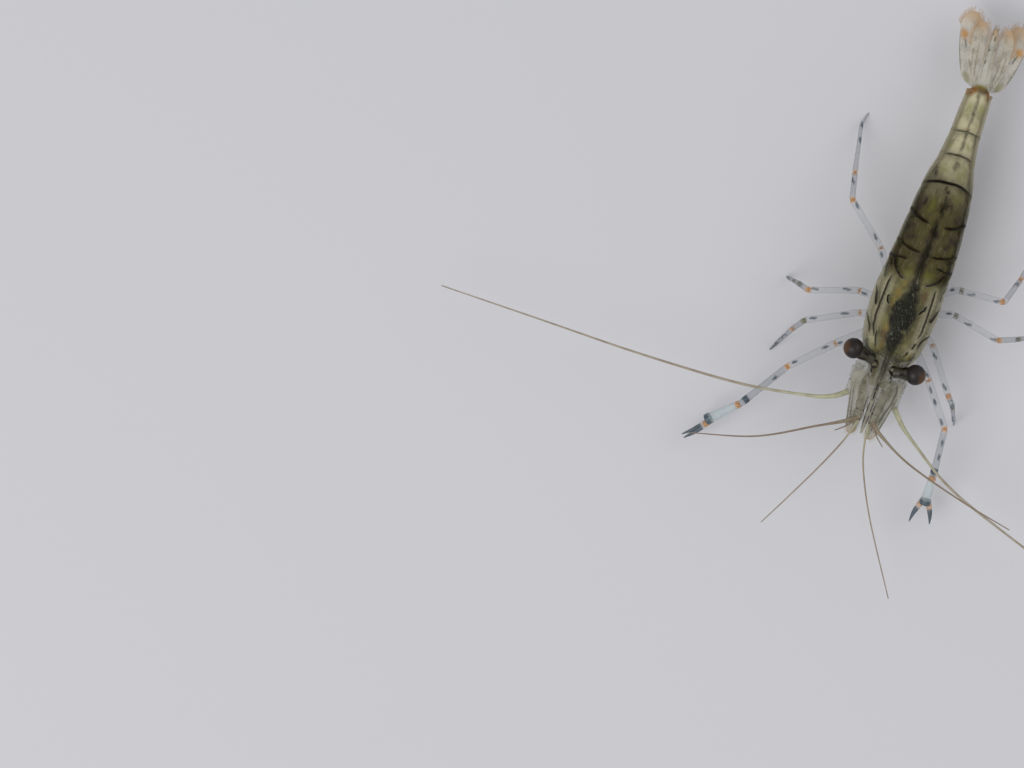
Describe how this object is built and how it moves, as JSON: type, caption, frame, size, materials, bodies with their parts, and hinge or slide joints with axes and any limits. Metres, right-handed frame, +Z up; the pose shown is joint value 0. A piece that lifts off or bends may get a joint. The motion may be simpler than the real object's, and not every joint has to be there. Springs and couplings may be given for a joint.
{
  "type": "rockpool prawn",
  "caption": "Life-size rockpool prawn standing on its walking legs, claws reaching forward and long feelers spread to both sides.",
  "frame": {"origin": "middle of the bounding box's base, on the floor that the feet stand on", "axes": "+Y from the head to the tail, +X to the prawn's left, across the spread of the feelers, +Z up"},
  "size_m": [0.096, 0.0686, 0.0137],
  "materials": {
    "shell": "satin, translucent look, dark bands",
    "leg": "satin, pale with orange and dark bands",
    "feeler": "satin",
    "eye": "glossy",
    "fan": "satin, pale with orange spots"
  },
  "bodies": {
    "root": {"abdomen_1": "shell", "abdomen_2": "shell", "abdomen_3": "shell", "abdomen_4": "shell", "abdomen_5": "shell", "abdomen_6": "shell", "antenna_flagellum_left_1": "feeler", "antenna_flagellum_left_2": "feeler", "antenna_flagellum_right_1": "feeler", "antenna_flagellum_right_2": "feeler", "antenna_left": "shell", "antenna_right": "shell", "antennal_scale_left": "fan", "antennal_scale_right": "fan", "antennule_inner_flagellum_left": "feeler", "antennule_inner_flagellum_right": "feeler", "antennule_left": "shell", "antennule_outer_flagellum_left": "feeler", "antennule_outer_flagellum_right": "feeler", "antennule_right": "shell", "carapace": "shell", "claw_leg_1_left": "leg", "claw_leg_1_right": "leg", "claw_leg_2_left": "leg", "claw_leg_2_right": "leg", "eye_left": "eye", "eye_right": "eye", "eyestalk_left": "shell", "eyestalk_right": "shell", "head": "shell", "maxilliped_left": "leg", "maxilliped_right": "leg", "pleopod_1_left": "leg", "pleopod_1_right": "leg", "pleopod_2_left": "leg", "pleopod_2_right": "leg", "pleopod_3_left": "leg", "pleopod_3_right": "leg", "pleopod_4_left": "leg", "pleopod_4_right": "leg", "pleopod_5_left": "leg", "pleopod_5_right": "leg", "telson": "fan", "thorax": "shell", "uropod_endopod_left": "fan", "uropod_endopod_right": "fan", "uropod_exopod_left": "fan", "uropod_exopod_right": "fan", "walking_leg_3_left": "leg", "walking_leg_3_right": "leg", "walking_leg_4_left": "leg", "walking_leg_4_right": "leg", "walking_leg_5_left": "leg", "walking_leg_5_right": "leg"}
  },
  "joints": []
}
